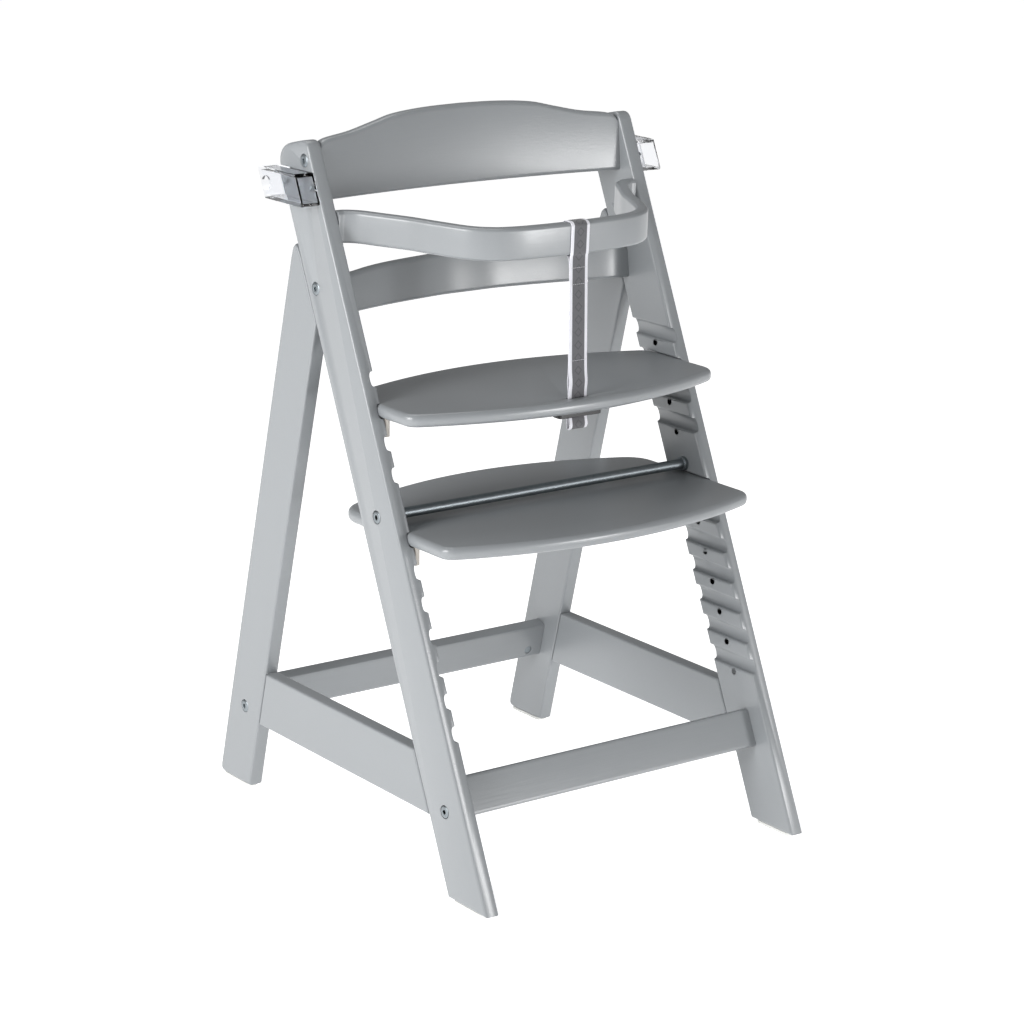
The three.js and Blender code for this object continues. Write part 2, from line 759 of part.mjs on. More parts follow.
pair("tray_socket", socketGeometry(), clear);
for (const [end, [y, z]] of Object.entries(socketScrews)) {
  const shape = screwGeometry(screw.length).rotateZ(-Math.PI / 2);
  pair(`socket_screw_${end}`, shape.translate(outerHalf + gap + socket.wall, y, z), zinc);
}

// Each board has its own group at the middle of the groove that it lies in.
for (const [name, outline] of Object.entries({ seat, foot })) {
  const height = grooveHeight(outline.step);
  pair(`${name}_peg`, pegGeometry(height), zinc);

  const group = new THREE.Group();
  group.position.z = height;
  frame.add(group);
  const slots = name === "seat" ? [slotTool(board.thickness + 4)] : [];
  place(`${name}_board`, boardGeometry(outline, height, ...slots), paint, group);
  pair(`${name}_lock`, lockGeometry(height), beige, group);
  pair(`${name}_lock_screw`, placeLockScrew(screwGeometry(lockScrewLength), height), zinc, group);
  if (name === "seat") {
    place("strap_anchor", anchorGeometry(), black, group);
    place("strap", strapGeometry(height), webbing, group);
  }
}

export default frame;
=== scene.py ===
"""Looks of the baby high chair: fine meshes for the timber, hardware, tray sockets and strap, procedural
materials, a pale studio and the camera. Lengths are in metres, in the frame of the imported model."""
import json
import math

import bmesh
import bpy
from mathutils import Matrix, Vector

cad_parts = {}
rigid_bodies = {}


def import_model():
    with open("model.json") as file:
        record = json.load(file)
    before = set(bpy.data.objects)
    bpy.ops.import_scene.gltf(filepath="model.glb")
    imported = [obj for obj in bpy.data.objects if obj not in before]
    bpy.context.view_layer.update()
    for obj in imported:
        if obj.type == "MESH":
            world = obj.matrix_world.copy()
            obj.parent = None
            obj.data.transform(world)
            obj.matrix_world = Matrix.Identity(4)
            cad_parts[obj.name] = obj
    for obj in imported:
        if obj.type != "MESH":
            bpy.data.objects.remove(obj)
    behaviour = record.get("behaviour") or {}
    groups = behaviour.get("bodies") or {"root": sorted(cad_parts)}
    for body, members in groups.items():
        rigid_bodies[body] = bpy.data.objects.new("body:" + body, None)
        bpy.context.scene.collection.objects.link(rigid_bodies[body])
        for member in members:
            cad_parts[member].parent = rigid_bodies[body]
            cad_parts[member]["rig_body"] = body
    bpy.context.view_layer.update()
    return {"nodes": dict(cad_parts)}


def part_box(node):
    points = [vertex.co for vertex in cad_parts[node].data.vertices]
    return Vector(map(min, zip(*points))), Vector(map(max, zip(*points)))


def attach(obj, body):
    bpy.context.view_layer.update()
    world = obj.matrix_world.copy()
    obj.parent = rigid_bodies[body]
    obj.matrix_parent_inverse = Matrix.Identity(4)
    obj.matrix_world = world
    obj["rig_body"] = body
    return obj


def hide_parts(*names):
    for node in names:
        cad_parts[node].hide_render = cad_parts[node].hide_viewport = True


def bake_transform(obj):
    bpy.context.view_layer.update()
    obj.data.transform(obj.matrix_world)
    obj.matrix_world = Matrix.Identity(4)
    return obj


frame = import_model()

# ---- Driving dimensions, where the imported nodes' boxes don't give them ----

MM = 0.001
RAIL_SLOPE = 0.4454  # rearward run for each metre of rise
LEG_SLOPE = -0.2605
RAIL_WIDTH = 66.4 * MM
RAIL_TOP = 796.5 * MM  # height of the head's front corner before it is rounded
HEAD_SLOPE = -0.23  # the head's top edge falls towards the rear
HEAD_CORNERS = (14 * MM, 28 * MM)  # rounding at the rail's head, front and rear
ARRIS = 3 * MM
GROOVE_TOP = 546.3 * MM
GROOVE_PITCH = 33.05 * MM
GROOVE_STEPS = (0, 1, 2, 3, 5, 6, 7, 8, 9, 10, 11)
GROOVE_HALF = 8.1 * MM
GROOVE_DEPTH = 7 * MM
GROOVE_LIP = 3 * MM
PEG_DROP = 13.5 * MM
PEG_HOLE = 4 * MM
PEG_DEPTH = 10 * MM
BOLT_HEAD = 7.5 * MM
BOLT_RECESS = 2.2 * MM
FIT = 0.3 * MM  # clearance round a pin or head
BOARD_EDGE = 6.2 * MM
BOARDS = {
    "seat_board": {"rise": (47 * MM, 48 * MM), "round": (15 * MM, 15 * MM)},
    "foot_board": {"rise": (42 * MM, 55 * MM), "round": (15 * MM, 25 * MM)},
}
PANEL = 14 * MM
PANEL_EDGE = 5 * MM
GUARD_END = 44 * MM
GUARD_LEVEL = 702 * MM
GUARD_TILT = math.radians(2.5)
GUARD_SIZE = (15 * MM, 36 * MM)
GUARD_EDGE = 4 * MM
STRAP_WIDTH = 25 * MM
STRAP_THICK = 1.1 * MM
STRAP_SEAM = 669 * MM  # the strands meet here under the bar, above the timber's underside
STRAP_SEWN = 560 * MM  # and part again here, above the floor
STITCH_LEVELS = (565.5 * MM, 648.5 * MM, 666.5 * MM)  # above the floor
STRAP_SLOT = Vector((-8 * MM, -140 * MM))  # where the strap passes the seat
SLOT_SIZE = (30 * MM, 6 * MM)
SLOT_ROUND = 2.8 * MM
STRAP_ON_BAR = 4 * MM  # the strap leans sideways: it stands here on the guard bar

rail_low, rail_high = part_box("rail_right")
SHIFT = Vector((0, rail_low.y + 280.2 * MM, rail_low.z))  # from the timber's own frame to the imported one
INNER = rail_low.x
OUTER = rail_high.x
RAIL_RUN = RAIL_WIDTH * math.hypot(1, RAIL_SLOPE)


def rail_front(z):
    """Depth of the rail's front edge at a height above the timber's underside."""
    return rail_low.y - SHIFT.y + RAIL_SLOPE * z


def rail_centre(z):
    return rail_front(z) + RAIL_RUN / 2


# ---- Node materials ----


class Shader:
    """A material under construction: makes nodes and links them in one call."""

    def __init__(self, name):
        self.material = bpy.data.materials.new(name)
        self.material.use_nodes = True
        self.tree = self.material.node_tree
        self.surface = self.tree.nodes["Principled BSDF"]

    def node(self, kind, inputs=None, **settings):
        made = self.tree.nodes.new(kind)
        for key, value in settings.items():
            setattr(made, key, value)
        for key, value in (inputs or {}).items():
            self.feed(made.inputs[key], value)
        return made

    def feed(self, socket, value):
        if isinstance(value, bpy.types.Node):
            value = value.outputs[0]
        if isinstance(value, bpy.types.NodeSocket):
            self.tree.links.new(value, socket)
        else:
            socket.default_value = value

    def set(self, **values):
        for key, value in values.items():
            self.feed(self.surface.inputs[key.replace("_", " ")], value)

    def maths(self, operation, a, b=0.0, c=0.0):
        return self.node("ShaderNodeMath", {0: a, 1: b, 2: c}, operation=operation)

    def mapped(self, scale, rotation=(0, 0, 0)):
        place = self.node("ShaderNodeTexCoord").outputs["Object"]
        return self.node(
            "ShaderNodeMapping", {"Vector": place, "Scale": scale, "Rotation": rotation}
        )

    def noise(self, vector, scale, detail=3.0, roughness=0.5):
        made = self.node(
            "ShaderNodeTexNoise",
            {"Vector": vector, "Scale": scale, "Detail": detail, "Roughness": roughness},
        )
        return made.outputs["Fac"]

    def spread(self, value, low, high):
        """A 0..1 value stretched to low..high."""
        return self.node("ShaderNodeMapRange", {"Value": value, "To Min": low, "To Max": high})

    def blend(self, factor, first, second):
        made = self.node("ShaderNodeMix", data_type="RGBA")
        self.feed(made.inputs[0], factor)
        self.feed(made.inputs[6], first)
        self.feed(made.inputs[7], second)
        return made.outputs[2]

    def bump(self, height, distance, strength=1.0):
        return self.node(
            "ShaderNodeBump", {"Height": height, "Distance": distance, "Strength": strength}
        )


PAINT = (0.262, 0.276, 0.288, 1)
PAINT_DARK = (0.236, 0.250, 0.262, 1)


def painted_wood(name, grain):
    """Satin lacquer over beech: faint grain lines along `grain`, an orange peel and a slight tint drift."""
    s = Shader(name)
    turn = Vector(grain).to_track_quat("X", "Z").inverted().to_euler()
    fibres = s.noise(s.mapped((6, 160, 160), turn), 3.0, 5.0, 0.6)
    pores = s.noise(s.mapped((30, 900, 900), turn), 1.0, 2.0)
    clouds = s.noise(s.mapped((1, 1, 1)), 9.0, 3.0)
    peel = s.noise(s.mapped((1, 1, 1)), 420.0, 2.0)
    tint = s.maths("MULTIPLY_ADD", fibres, 0.55, s.maths("MULTIPLY", clouds, 0.45))
    fine = s.maths("MULTIPLY_ADD", pores, 0.35, s.maths("MULTIPLY", peel, 0.3))
    relief = s.maths("MULTIPLY_ADD", fibres, 0.5, fine)
    s.set(
        Base_Color=s.blend(tint, PAINT_DARK, PAINT),
        Roughness=s.spread(clouds, 0.25, 0.34),
        Normal=s.bump(relief, 0.00022, 0.55),
        Specular_IOR_Level=0.7,
    )
    return s.material


def plain(name, color, roughness, grain_scale=700.0, relief=0.0001, **more):
    """Moulded plastic or raw wood: one colour with a fine mottle and a moulded texture."""
    s = Shader(name)
    mottle = s.noise(s.mapped((1, 1, 1)), 60.0)
    texture = s.noise(s.mapped((1, 1, 1)), grain_scale, 2.0)
    darker = tuple(0.9 * c for c in color[:3]) + (1,)
    s.set(
        Base_Color=s.blend(mottle, darker, color),
        Roughness=s.spread(mottle, roughness - 0.04, roughness + 0.06),
        Normal=s.bump(texture, relief, 0.6),
        **more,
    )
    return s.material


def zinc(name):
    """Bright zinc plate: metal with a blotchy roughness and fine turning marks."""
    s = Shader(name)
    blotch = s.noise(s.mapped((1, 1, 1)), 260.0)
    marks = s.noise(s.mapped((14, 900, 900)), 1.0, 3.0)
    s.set(
        Base_Color=s.blend(blotch, (0.20, 0.225, 0.24, 1), (0.32, 0.35, 0.37, 1)),
        Metallic=1.0,
        Roughness=s.spread(blotch, 0.36, 0.52),
        Normal=s.bump(marks, 0.00006, 0.5),
    )
    return s.material


def clear_plastic(name):
    s = Shader(name)
    flow = s.noise(s.mapped((1, 1, 1)), 35.0)
    s.set(
        Base_Color=(0.92, 0.93, 0.95, 1),
        Roughness=s.spread(flow, 0.01, 0.06),
        Transmission_Weight=1.0,
        IOR=1.17,
        Normal=s.bump(flow, 0.0003, 0.2),
    )
    return s.material


# The webbing's pattern, in millimetres.
RIB_PITCH = 0.9
YARN_PITCH = 1.3
BAND_EDGE = 8.3  # half the width of the grey middle, between the white edges
DIAMOND_PITCH = 14.0
DIAMOND_REACH = 4.6
DIAMOND_LINE = 0.9


def webbing(name):
    """Woven strap, read by its own UVs in millimetres: u across the width, v along the length."""
    s = Shader(name)
    place = s.node("ShaderNodeSeparateXYZ", {"Vector": s.node("ShaderNodeUVMap", uv_map="weave")})
    across, along = place.outputs[0], place.outputs[1]
    rib = s.maths("SINE", s.maths("MULTIPLY", along, 2 * math.pi / RIB_PITCH))
    twist = s.maths("MULTIPLY", across, 2 * math.pi / YARN_PITCH)
    slant = s.maths("MULTIPLY_ADD", along, math.pi / RIB_PITCH, twist)
    yarn = s.maths("SINE", slant)
    weave = s.maths("MULTIPLY_ADD", rib, 0.25, s.maths("MULTIPLY_ADD", yarn, 0.25, 0.5))
    off_centre = s.maths("ABSOLUTE", across)
    limits = {"From Min": BAND_EDGE, "From Max": BAND_EDGE + 0.5}
    edge = s.node("ShaderNodeMapRange", {"Value": off_centre, **limits})
    # An open diamond in the middle of every stretch between two turns of the ping-pong.
    repeat = s.maths("PINGPONG", along, DIAMOND_PITCH)
    from_middle = s.maths("ABSOLUTE", s.maths("SUBTRACT", repeat, DIAMOND_PITCH / 2))
    distance = s.maths("ADD", off_centre, from_middle)
    outline = s.maths("ABSOLUTE", s.maths("SUBTRACT", distance, DIAMOND_REACH))
    diamond = s.maths("LESS_THAN", outline, DIAMOND_LINE)
    fuzz = s.noise(s.mapped((1, 1, 1)), 1500.0)
    shade = s.maths("MULTIPLY_ADD", fuzz, 0.6, s.maths("MULTIPLY", weave, 0.4))
    grey = s.blend(shade, (0.062, 0.062, 0.070, 1), (0.165, 0.165, 0.175, 1))
    marked = s.blend(s.maths("MULTIPLY", diamond, 0.55), grey, (0.055, 0.055, 0.062, 1))
    white = s.blend(weave, (0.62, 0.62, 0.68, 1), (0.86, 0.86, 0.90, 1))
    s.set(
        Base_Color=s.blend(edge, marked, white),
        Roughness=0.85,
        Sheen_Weight=0.25,
        Sheen_Roughness=0.5,
        Normal=s.bump(s.maths("MULTIPLY_ADD", fuzz, 0.3, weave), 0.00025, 0.8),
    )
    return s.material


LEAN = Vector((0, RAIL_SLOPE, 1)).normalized()
LEG_LEAN = Vector((0, LEG_SLOPE, 1)).normalized()
paint_rail = painted_wood("paint_rail", LEAN)
paint_leg = painted_wood("paint_leg", LEG_LEAN)
paint_along = painted_wood("paint_along_y", (0, 1, 0))
paint_across = painted_wood("paint_along_x", (1, 0, 0))
steel = zinc("zinc_steel")
clear = clear_plastic("clear_plastic")
beech = plain("beech", (0.60, 0.42, 0.25, 1), 0.6, 300.0)
glide_white = plain("glide_plastic", (0.72, 0.72, 0.70, 1), 0.5)
lock_beige = plain("lock_plastic", (0.44, 0.41, 0.37, 1), 0.42)
anchor_black = plain("anchor_plastic", (0.012, 0.012, 0.014, 1), 0.35)
strap_cloth = webbing("webbing")
thread = plain("thread", (0.62, 0.62, 0.66, 1), 0.8, 2000.0)


# ---- Mesh helpers ----


SMOOTH_ANGLE = 34


def make_object(name, bm, material, smooth_angle=SMOOTH_ANGLE):
    bmesh.ops.recalc_face_normals(bm, faces=bm.faces)
    mesh = bpy.data.meshes.new(name)
    bm.to_mesh(mesh)
    bm.free()
    obj = bpy.data.objects.new(name, mesh)
    bpy.context.scene.collection.objects.link(obj)
    finish_shading(mesh, smooth_angle)
    mesh.materials.append(material)
    return obj


def finish_shading(mesh, angle=SMOOTH_ANGLE):
    mesh.shade_smooth()
    mesh.set_sharp_from_angle(angle=math.radians(angle))


def apply_modifiers(obj):
    """Bakes the object's modifiers into its mesh, its flat faces kept flat in the shading."""
    obj.modifiers.new("flat", "WEIGHTED_NORMAL").keep_sharp = True
    depsgraph = bpy.context.evaluated_depsgraph_get()
    mesh = bpy.data.meshes.new_from_object(obj.evaluated_get(depsgraph))
    obj.modifiers.clear()
    obj.data = mesh


def hand_in(obj, body, slot, *nodes):
    """The object rides on a body and stands for CAD nodes, which it hides. The slot is not used."""
    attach(obj, body)
    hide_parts(*nodes)


def refined(node, material, slot, bevel=0.5 * MM):
    """A copy of a CAD node with its flat faces merged, its hard edges rounded and smooth shading."""
    original = frame["nodes"][node]
    bm = bmesh.new()
    bm.from_mesh(original.data)
    bmesh.ops.remove_doubles(bm, verts=bm.verts, dist=2e-6)
    bmesh.ops.dissolve_limit(bm, angle_limit=math.radians(0.6), verts=bm.verts, edges=bm.edges)
    obj = make_object(node + "_fine", bm, material)
    add_bevel(obj, bevel, 32)
    apply_modifiers(obj)
    hand_in(obj, original["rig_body"], slot, node)


def add_bevel(obj, width, angle):
    """Rounds the edges that turn by more than an angle in degrees."""
    modifier = obj.modifiers.new("round", "BEVEL")
    modifier.width = width
    modifier.segments = 2
    modifier.limit_method = "ANGLE"
    modifier.angle_limit = math.radians(angle)


def soften(obj, width=0.7 * MM):
    """Rounds the hard edges that cutting left."""
    add_bevel(obj, width, 40)
    apply_modifiers(obj)
    finish_shading(obj.data, 40)


def loft(rings):
    """Closed bmesh through rings of equal size."""
    bm = bmesh.new()
    rows = [[bm.verts.new(p) for p in ring] for ring in rings]
    size = len(rows[0])
    for row, following in zip(rows, rows[1:]):
        for i in range(size):
            j = (i + 1) % size
            bm.faces.new((row[i], row[j], following[j], following[i]))
    bm.faces.new(rows[0][::-1])
    bm.faces.new(rows[-1])
    return bm


def rounded_rectangle(width, low, high, radius, steps=6):
    """Points round a rectangle, anticlockwise, with round corners."""
    half = width / 2 - radius
    corners = [
        (-half, low + radius, 180),
        (half, low + radius, 270),
        (half, high - radius, 0),
        (-half, high - radius, 90),
    ]
    points = []
    for x, y, start in corners:
        for i in range(steps + 1):
            angle = math.radians(start + 90 * i / steps)
            points.append((x + radius * math.cos(angle), y + radius * math.sin(angle)))
    return points


def quadratic(a, control, b, steps):
    """Points of a quadratic curve after a, up to and with b."""
    points = []
    for i in range(1, steps + 1):
        t = i / steps
        pulls = ((1 - t) ** 2, 2 * t * (1 - t), t * t)
        points.append(tuple(pulls[0] * p + pulls[1] * q + pulls[2] * r for p, q, r in zip(a, control, b)))
    return points


def fillet_outline(corners, steps=8):
    """Closed outline through corners (x, y, radius), anticlockwise, with quadratic rounding."""
    points = []
    for i, (x, y, radius) in enumerate(corners):
        corner = Vector((x, y))
        before = (Vector(corners[i - 1][:2]) - corner).normalized()
        after = (Vector(corners[(i + 1) % len(corners)][:2]) - corner).normalized()
        reach = radius / math.tan(before.angle(after) / 2)
        start = corner + before * reach
        end = corner + after * reach
        points.append(tuple(start))
        if radius:
            points += quadratic(start, corner, end, steps)
    return points


def offset_outline(points, distance):
    """The closed anticlockwise outline moved inwards by a distance, corner by corner."""
    moved = []
    for i, point in enumerate(points):
        here = Vector(point)
        before = (here - Vector(points[i - 1])).normalized()
        after = (Vector(points[(i + 1) % len(points)]) - here).normalized()
        inward = Vector((-(before + after).y, (before + after).x)).normalized()
        lean = max(0.3, inward.dot(Vector((-before.y, before.x))))
        moved.append(tuple(here + inward * distance / lean))
    return moved


def rounded_slab(outline, thickness, edge, place, steps=5):
    """A slab between two rims rounded by `edge`. place(x, y, height) gives the point in the frame."""
    levels = []
    for i in range(steps + 1):
        angle = math.pi / 2 * i / steps
        levels.append((edge * (1 - math.sin(angle)), edge * (1 - math.cos(angle)) - thickness / 2))
    levels += [(inset, -height) for inset, height in reversed(levels)]
    rings = [[place(x, y, height) for x, y in offset_outline(outline, inset)] for inset, height in levels]
    return loft(rings)


def cylinder_mesh(radius, start, end, sides=32):
    start, end = Vector(start), Vector(end)
    turn = (end - start).to_track_quat("Z", "Y").to_matrix().to_4x4()
    bm = bmesh.new()
    bmesh.ops.create_cone(
        bm, cap_ends=True, segments=sides, radius1=radius, radius2=radius, depth=(end - start).length
    )
    bm.transform(Matrix.Translation((start + end) / 2) @ turn)
    return bm


def merged(*parts):
    """One bmesh holding all the parts, which are freed."""
    whole = bmesh.new()
    for part in parts:
        mesh = bpy.data.meshes.new("part")
        part.to_mesh(mesh)
        part.free()
        whole.from_mesh(mesh)
        bpy.data.meshes.remove(mesh)
    return whole


def subtract(obj, cutter_parts):
    """Cuts closed parts, which stand clear of one another, out of an object's mesh."""
    for part in cutter_parts:
        bmesh.ops.recalc_face_normals(part, faces=part.faces)
    mesh = bpy.data.meshes.new("cutter")
    whole = merged(*cutter_parts)
    whole.to_mesh(mesh)
    whole.free()
    cutter = bpy.data.objects.new("cutter", mesh)
    bpy.context.scene.collection.objects.link(cutter)
    modifier = obj.modifiers.new("cut", "BOOLEAN")
    modifier.object = cutter
    modifier.solver = "MANIFOLD"
    apply_modifiers(obj)
    bpy.data.objects.remove(cutter)
    finish_shading(obj.data)


def mirrored(obj, name):
    """A copy of an object on the other side of the chair."""
    bm = bmesh.new()
    bm.from_mesh(obj.data)
    bm.transform(Matrix.Scale(-1, 4, (1, 0, 0)))
    return make_object(name, bm, obj.data.materials[0])


def catmull(points, per_span):
    """Smooth run of points through the given ones."""
    vectors = [Vector(p) for p in points]
    ends = [2 * vectors[0] - vectors[1], *vectors, 2 * vectors[-1] - vectors[-2]]
    run = []
    for a, b, c, d in zip(ends, ends[1:], ends[2:], ends[3:]):
        for i in range(per_span):
            t = i / per_span
            square = (2 * a - 5 * b + 4 * c - d) * t * t
            cube = (3 * b - a - 3 * c + d) * t**3
            run.append(0.5 * (2 * b + (c - a) * t + square + cube))
    run.append(vectors[-1])
    return run


# ---- Rails ----


def side_place(x):
    """Puts a side outline (depth, height) at x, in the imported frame."""
    return lambda depth, height, across: Vector((x + across, depth, height)) + SHIFT


def groove_cutter(level):
    half, lip, depth = GROOVE_HALF, GROOVE_LIP, GROOVE_DEPTH
    mouth = half + lip
    section = [(-2 * MM, -mouth), (0, -mouth)]
    section += quadratic((0, -mouth), (0, -half), (lip, -half), 6)
    section += quadratic((lip, -half), (depth, -half), (depth, 0), 9)
    section += quadratic((depth, 0), (depth, half), (lip, half), 9)
    section += quadratic((lip, half), (0, half), (0, mouth), 6)
    section.append((-2 * MM, mouth))
    reach = 60 * MM
    rings = []
    for side in (-1, 1):
        y = rail_centre(level) + side * reach
        rings.append([Vector((INNER + u, y, level + w)) + SHIFT for u, w in section])
    return loft(rings)


def x_hole(radius, x_from, x_to, y, z):
    return cylinder_mesh(radius, (x_from, y, z), (x_to, y, z))


def bolt_seats(nodes):
    """Recesses round the heads of bolts that pass a rail or leg."""
    cutters = []
    for node in nodes:
        low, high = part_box(node)
        y, z = (low.y + high.y) / 2, (low.z + high.z) / 2
        cutters.append(x_hole(BOLT_HEAD + FIT, OUTER - BOLT_RECESS, OUTER + 5 * MM, y, z))
    return cutters


def make_rails():
    rear_top = RAIL_TOP + HEAD_SLOPE * RAIL_RUN / (1 - HEAD_SLOPE * RAIL_SLOPE)
    outline = fillet_outline(
        [
            (rail_front(0), 0, 0),
            (rail_front(0) + RAIL_RUN, 0, 0),
            (rail_front(rear_top) + RAIL_RUN, rear_top, HEAD_CORNERS[1]),
            (rail_front(RAIL_TOP), RAIL_TOP, HEAD_CORNERS[0]),
        ]
    )
    centre = (INNER + OUTER) / 2
    place = side_place(centre)
    rail = make_object("rail_right_fine", rounded_slab(outline, OUTER - INNER, ARRIS, place), paint_rail)
    bolts = ("upper_back", "lower_back", "tie_rod", "front_crossbar")
    holes = bolt_seats(f"{name}_bolt_right" for name in bolts)
    for step in GROOVE_STEPS:
        z = GROOVE_TOP - GROOVE_PITCH * step - PEG_DROP
        y, height = rail_centre(z) + SHIFT.y, z + SHIFT.z
        holes.append(x_hole(PEG_HOLE, INNER - 5 * MM, INNER + PEG_DEPTH, y, height))
    subtract(rail, holes)
    subtract(rail, [groove_cutter(GROOVE_TOP - GROOVE_PITCH * step) for step in GROOVE_STEPS])
    soften(rail)
    other = mirrored(rail, "rail_left_fine")
    hand_in(rail, "frame", "paint", "rail_right")
    hand_in(other, "frame", "paint", "rail_left")


# ---- Boards ----


def board_outline(low, high, rise, rounding):
    """Plan of a board from its box: straight sides, and a convex curve at the front and at the rear."""
    half = high.x

    def edge(apex, side, radius):
        inset = half - 0.9 * radius
        lift = (side - apex) * (inset / half) ** 2
        return inset, apex + lift, apex - lift

    near_side, far_side = low.y + rise[0], high.y - rise[1]
    near_in, near_end, near_pull = edge(low.y, near_side, rounding[0])
    far_in, far_end, far_pull = edge(high.y, far_side, rounding[1])
    points = quadratic((-near_in, near_end), (0, near_pull), (near_in, near_end), 48)
    points += quadratic((near_in, near_end), (half, near_side), (half, near_side + rounding[0]), 8)
    points.append((half, far_side - rounding[1]))
    points += quadratic((half, far_side - rounding[1]), (half, far_side), (far_in, far_end), 8)
    points += quadratic((far_in, far_end), (0, far_pull), (-far_in, far_end), 48)
    points += quadratic((-far_in, far_end), (-half, far_side), (-half, far_side - rounding[1]), 8)
    points.append((-half, near_side + rounding[0]))
    points += quadratic((-half, near_side + rounding[0]), (-half, near_side), (-near_in, near_end), 8)
    return points


def make_board(node, body):
    low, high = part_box(node)
    centre = (low.z + high.z) / 2
    outline = board_outline(low, high, BOARDS[node]["rise"], BOARDS[node]["round"])
    bm = rounded_slab(outline, high.z - low.z, BOARD_EDGE, lambda x, y, h: Vector((x, y, centre + h)))
    board = make_object(node + "_fine", bm, paint_across)
    if node == "seat_board":
        slot = rounded_rectangle(SLOT_SIZE[0], -SLOT_SIZE[1] / 2, SLOT_SIZE[1] / 2, SLOT_ROUND)
        spot = STRAP_SLOT + SHIFT.xy
        ends = (centre - 12 * MM, centre + 12 * MM)
        subtract(board, [loft([[(spot.x + a, spot.y + b, z) for a, b in slot] for z in ends])])
        soften(board, 1.0 * MM)
    hand_in(board, body, "paint", node)


# ---- Backrests and guard bar ----


def interpolate(table, x):
    """Smooth value at |x| from a curve through (x, value) points."""
    x = abs(x)
    run = catmull([(a, b, 0) for a, b in table], 12)
    for a, b in zip(run, run[1:]):
        if x <= b.x:
            return a.y + (b.y - a.y) * (x - a.x) / (b.x - a.x)
    return run[-1].y


LOWER_BEND = [(0, 75), (42, 74.4), (106, 65), (147, 56), (183, 46.5), (207, 46)]
UPPER_CREST = [(0, 817.5), (50, 816.5), (95, 813), (125, 806.5), (160, 799), (198, 794), (207, 787)]
LOWER_CREST = [(0, 650), (120, 649), (170, 646.5), (198, 644), (207, 638)]
UPPER_BEND = [(0, 84), (208, 67)]


def upper_bend(x):
    """Depth of the upper backrest's front, in millimetres: a parabola through the two points above."""
    (_, middle), (reach, end) = UPPER_BEND
    return middle + (end - middle) * (x / reach) ** 2


def lower_bend(x):
    return interpolate(LOWER_BEND, x)


BACKS = {
    "upper_backrest": {"lean": 0.1, "bend": upper_bend, "crest": UPPER_CREST},
    "lower_backrest": {"lean": 0.12, "bend": lower_bend, "crest": LOWER_CREST},
}


def make_backrest(node):
    low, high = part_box(node)
    shape = BACKS[node]
    bottom = low.z - SHIFT.z
    rings = []
    stations = 96
    for i in range(stations + 1):
        x = -high.x * math.cos(math.pi * i / stations)
        top = interpolate(shape["crest"], x / MM) * MM
        centre = shape["bend"](x / MM) * MM + PANEL / 2
        ring = rounded_rectangle(PANEL, bottom, top, PANEL_EDGE)
        rings.append([Vector((x, centre + y + shape["lean"] * (z - bottom), z)) + SHIFT for y, z in ring])
    panel = make_object(node + "_fine", loft(rings), paint_across)
    hand_in(panel, "frame", "paint", node)


GUARD_PATH = [
    (207, GUARD_END / MM),
    (196, GUARD_END / MM - 0.5),
    (182, 33),
    (168, 10),
    (151, -19),
    (139, -46),
    (119, -86),
    (98, -104),
    (75, -111.5),
    (45, -115),
    (0, -116.5),
]


def guard_stations():
    """Points along the bar's middle, from left to right, in the timber's own frame before its tilt."""
    half = [(-x * MM, y * MM, 0) for x, y in GUARD_PATH]
    return catmull(half + [(-x, y, z) for x, y, z in half[-2::-1]], 8)


def tilted(x, y, height):
    """Point of the guard bar, height measured from its middle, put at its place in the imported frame."""
    arm = y - GUARD_END
    turned_y = arm * math.cos(GUARD_TILT) - height * math.sin(GUARD_TILT)
    turned_z = arm * math.sin(GUARD_TILT) + height * math.cos(GUARD_TILT)
    return Vector((x, GUARD_END + turned_y, GUARD_LEVEL + turned_z)) + SHIFT


def make_guard_bar():
    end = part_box("guard_bar")[1].x
    run = guard_stations()
    width, height = GUARD_SIZE
    section = rounded_rectangle(width, -height / 2, height / 2, GUARD_EDGE)
    rings = []
    for i, point in enumerate(run):
        ahead = run[min(i + 1, len(run) - 1)] - run[max(i - 1, 0)]
        ahead.normalize()
        x = point.x
        if i in (0, len(run) - 1):
            ahead = Vector((1, 0, 0))
            x = math.copysign(end, x)
        rings.append([tilted(x - ahead.y * a, point.y + ahead.x * a, b) for a, b in section])
    bar = make_object("guard_bar_fine", loft(rings), paint_across)
    hand_in(bar, "frame", "paint", "guard_bar")


# ---- Bolts and screws ----


def turned(stations, sides, place):
    """Closed turned shape through stations (radius, height, flats); with flats the ring is a polygon."""
    rings = []
    for radius, height, flats in stations:
        ring = []
        for i in range(sides):
            angle = 2 * math.pi * i / sides
            reach = radius
            if flats:
                sector = 2 * math.pi / flats
                reach = radius * math.cos(sector / 2) / math.cos((angle % sector) - sector / 2)
            ring.append(place(reach * math.cos(angle), reach * math.sin(angle), height))
        rings.append(ring)
    return loft(rings)


